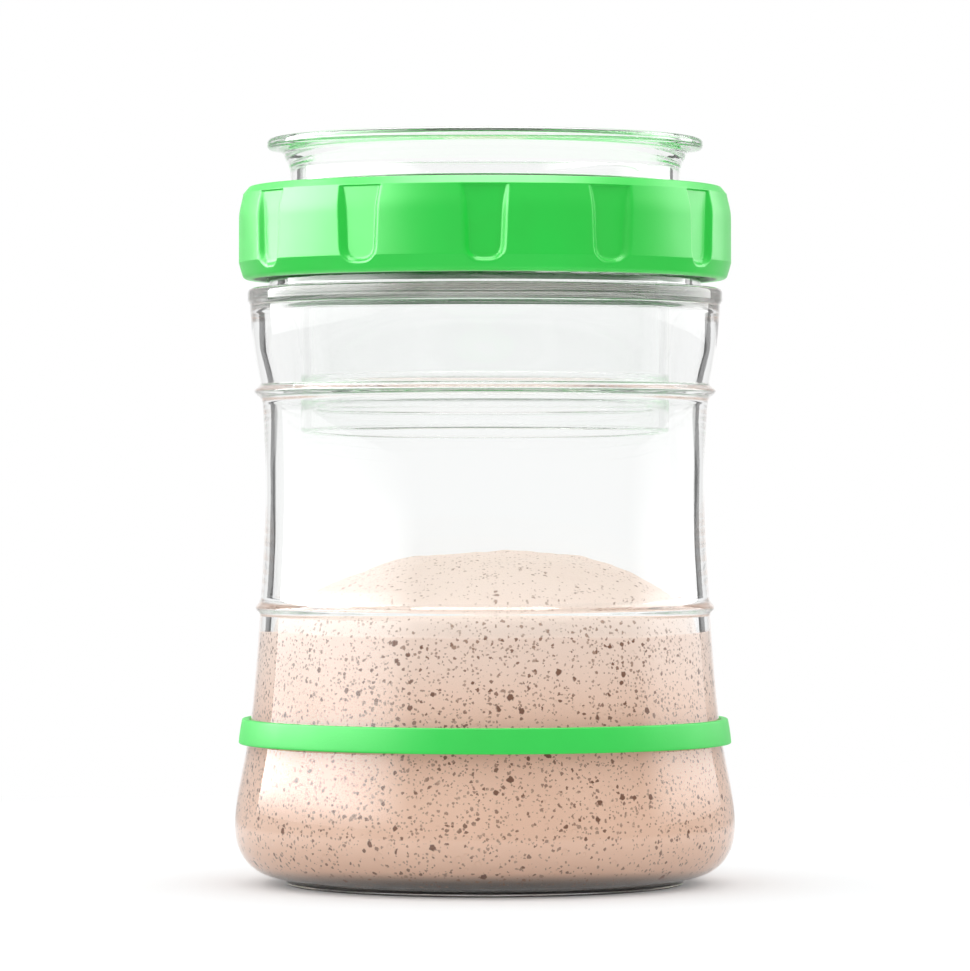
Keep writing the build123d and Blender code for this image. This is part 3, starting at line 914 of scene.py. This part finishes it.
dress = [
    (jarGlass, "jar", "jar", "jar_glass", clearMaterial("jarGlass", glassLook)),
    (starterDough, "starter", "jar", "starter_dough", doughMaterial()),
    (levelBand, "level_band", "level_band", "band_green", greenMaterial("bandGreen", bandLook)),
    (lidSeal, "lid_seal", "lid_seal", "seal_clear", sealMaterial()),
    (screwRing, "screw_ring", "screw_ring", "ring_green", greenMaterial("ringGreen", ringLook)),
    (measuringCup, "measuring_cup", "measuring_cup", "cup_clear",
     clearMaterial("cupClear", cupLook)),
]
for piece, node, body, slot, material in dress:
    piece.data.materials.append(material)
    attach(piece, body)
    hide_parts(node)
print("materials and bodies set")


# Stage: camera, floor, white surroundings, two tall soft boxes, lights above and dark cards.
# A soft box is (first angle, last angle, strength, share of its width over which it fades in,
# share of its strength at the foot), a light above (half width, height, strength), and a row
# of the dark cards (first angle, last angle, height). Angles go round the jar from the
# camera's side.

stage = dict(
    cameraDistance=1.176, cameraHeight=0.0835, lens=207.8,
    floorHalf=3.0, floorColour=(0.93, 0.945, 0.96), floorBounce=(0.70, 0.70, 0.70),
    floorRough=0.85, floorSpecular=0.1, fade=(0.16, 0.34),
    worldDiffuse=0.95, worldFront=0.1, worldSide=0.62, sideways=(0.2, 0.75), behind=(0.9, 0.98),
    boxDistance=1.10, boxFoot=0.05, boxTop=1.1, boxRise=0.14,
    leftBox=(32, 128, 8.6, 0.50, 0.15), rightBox=(76, 139, 3.3, 0.40, 0.35),
    overhead=(0.45, 1.15, 7.0), softTop=(0.6, 1.3, 2.0),
    cards=((149.5, 139.0, 0.001), (149.5, 139.0, 0.095),
           (145.0, 134.0, 0.125), (145.0, 134.0, 0.300)),
    cardDistance=0.32, cardFaint=0.12,
)


def makeCamera():
    data = bpy.data.cameras.new("camera")
    camera = bpy.data.objects.new("camera", data)
    bpy.context.scene.collection.objects.link(camera)
    data.sensor_fit, data.sensor_width, data.lens = "HORIZONTAL", 36.0, stage["lens"]
    camera.location = (0, -stage["cameraDistance"], stage["cameraHeight"])
    camera.rotation_euler = (math.pi / 2, 0, 0)
    bpy.context.scene.camera = camera


def reflectedLevel(tree, behind):
    # How bright the surroundings look in a reflection, by how far behind the jar they lie:
    # dim on the camera's side, a middle level beside the jar and full right behind it.
    side = rangeNode(tree, behind, *stage["sideways"], stage["worldFront"], stage["worldSide"])
    return larger(tree, side, rangeNode(tree, behind, *stage["behind"]))


def seenPlainly(paths, tree):
    # One for the camera, also through glass: a refracted ray counts as glossy too.
    return larger(tree, paths["Is Camera Ray"], paths["Is Transmission Ray"])


def makeWorld():
    world = bpy.data.worlds.new("studio")
    bpy.context.scene.world = world
    world.use_nodes = True
    tree = world.node_tree
    paths = lightPath(tree)
    direction = axesOf(tree, coordinates(tree, "Generated"))
    level = times(tree, paths["Is Glossy Ray"], reflectedLevel(tree, direction["Y"]))
    level = larger(tree, level, times(tree, paths["Is Diffuse Ray"], stage["worldDiffuse"]))
    back = tree.nodes["Background"]
    put(tree, back.inputs["Color"], (1.0, 1.0, 1.0))
    link(tree, larger(tree, level, seenPlainly(paths, tree)), back.inputs["Strength"])


def flatCard(name, corners, material, rays):
    mesh = bpy.data.meshes.new(name)
    mesh.from_pydata(corners, [], [(0, 1, 2, 3)])
    mesh.uv_layers.new(name="UVMap").data.foreach_set("uv", [0, 0, 1, 0, 1, 1, 0, 1])
    card = bpy.data.objects.new(name, mesh)
    bpy.context.scene.collection.objects.link(card)
    mesh.materials.append(material)
    for ray in ("camera", "diffuse", "glossy", "transmission", "shadow"):
        setattr(card, "visible_" + ray, ray in rays)


def levelCorners(half, height):
    # The corners of a square that lies level and faces up.
    return [(half * x, half * y, height) for x, y in ((-1, -1), (1, -1), (1, 1), (-1, 1))]


def standingCorners(low, high, distance, side):
    # The corners of a card that stands round the jar, from its lower and upper row.
    corners = []
    for row, end in ((low, 0), (low, 1), (high, 1), (high, 0)):
        turn = math.radians(row[end])
        corners.append((side * distance * math.sin(turn), -distance * math.cos(turn), row[2]))
    return corners


def lampMaterial(name, strength):
    material, tree = newMaterial(name)[:2]
    glow = tree.nodes.new("ShaderNodeEmission")
    put(tree, glow.inputs["Strength"], strength)
    link(tree, glow.outputs[0], tree.nodes["Material Output"].inputs["Surface"])
    return material, tree, glow


def boxMaterial(name, strength, fadeWidth, footShare):
    # A lamp that fades in across its width and from its foot up.
    material, tree, glow = lampMaterial(name, strength)
    across = axesOf(tree, coordinates(tree, "UV"))
    fadeIn = rangeNode(tree, across["X"], 0.0, fadeWidth)
    rise = rangeNode(tree, across["Y"], 0.0, stage["boxRise"], footShare, 1.0)
    link(tree, times(tree, times(tree, fadeIn, rise), strength), glow.inputs["Strength"])
    return material


def bentCardMaterial(name):
    # Black to light that the jar's wall has thrown back inside itself, faint to light that
    # has gone through more than that wall, and clear to light that came straight.
    material, tree = newMaterial(name)[:2]
    paths = lightPath(tree)
    black = tree.nodes.new("ShaderNodeEmission")
    put(tree, black.inputs["Strength"], 0.0)
    bent = mathNode(tree, "GREATER_THAN", paths["Glossy Depth"], 0.5)
    oneWall = mathNode(tree, "LESS_THAN", paths["Transmission Depth"], 3.5)
    share = times(tree, bent, larger(tree, oneWall, stage["cardFaint"]))
    mixShaders(tree, share, tree.nodes.new("ShaderNodeBsdfTransparent"), black)
    return material


def makeLights():
    s = stage
    for name, side in (("leftBox", -1), ("rightBox", 1)):
        first, last, *looks = s[name]
        low, high = (first, last, s["boxFoot"]), (first, last, s["boxTop"])
        corners = standingCorners(low, high, s["boxDistance"], side)
        flatCard(name, corners, boxMaterial(name, *looks), ["glossy"])
    for name, ray in (("overhead", "glossy"), ("softTop", "diffuse")):
        half, height, strength = s[name]
        facingDown = [(y, x, z) for x, y, z in levelCorners(half, height)]
        flatCard(name, facingDown, lampMaterial(name, strength)[0], [ray])
    # Dark cards behind the sides of the jar, which only show in light that its wall has bent.
    dark = bentCardMaterial("darkCard")
    for name, side in (("darkCardLeft", -1), ("darkCardRight", 1)):
        for part, (low, high) in enumerate(zip(s["cards"], s["cards"][1:])):
            corners = standingCorners(low, high, s["cardDistance"], side)
            flatCard(name + str(part), corners, dark, ["transmission"])


def makeFloor():
    # A pale floor that keeps the shadow near the jar and turns to plain white further out.
    material, tree, shader = newMaterial("paleFloor")
    place, paths = coordinates(tree, "Object"), lightPath(tree)
    tone = mixColours(tree, paths["Is Diffuse Ray"], stage["floorColour"], stage["floorBounce"])
    link(tree, tone, shader.inputs["Base Color"])
    put(tree, shader.inputs["Roughness"], stage["floorRough"])
    put(tree, shader.inputs["Specular IOR Level"], stage["floorSpecular"])
    distance = lengthOf(tree, place)
    behind = mathNode(tree, "DIVIDE", axesOf(tree, place)["Y"], distance)
    white = tree.nodes.new("ShaderNodeEmission")
    strength = larger(tree, reflectedLevel(tree, behind), seenPlainly(paths, tree))
    link(tree, strength, white.inputs["Strength"])
    plain = mathNode(tree, "SUBTRACT", 1.0, paths["Is Diffuse Ray"])
    share = times(tree, rangeNode(tree, distance, *stage["fade"]), plain)
    mixShaders(tree, share, shader, white)
    flatCard("floor", levelCorners(stage["floorHalf"], 0), material,
             ["camera", "diffuse", "glossy", "transmission", "shadow"])


makeCamera()
makeWorld()
makeLights()
makeFloor()
scene = bpy.context.scene
scene.view_settings.view_transform = "Standard"
scene.cycles.max_bounces = 64
scene.cycles.transmission_bounces = 64
scene.cycles.glossy_bounces = 64
scene.cycles.transparent_max_bounces = 24
print("stage set")
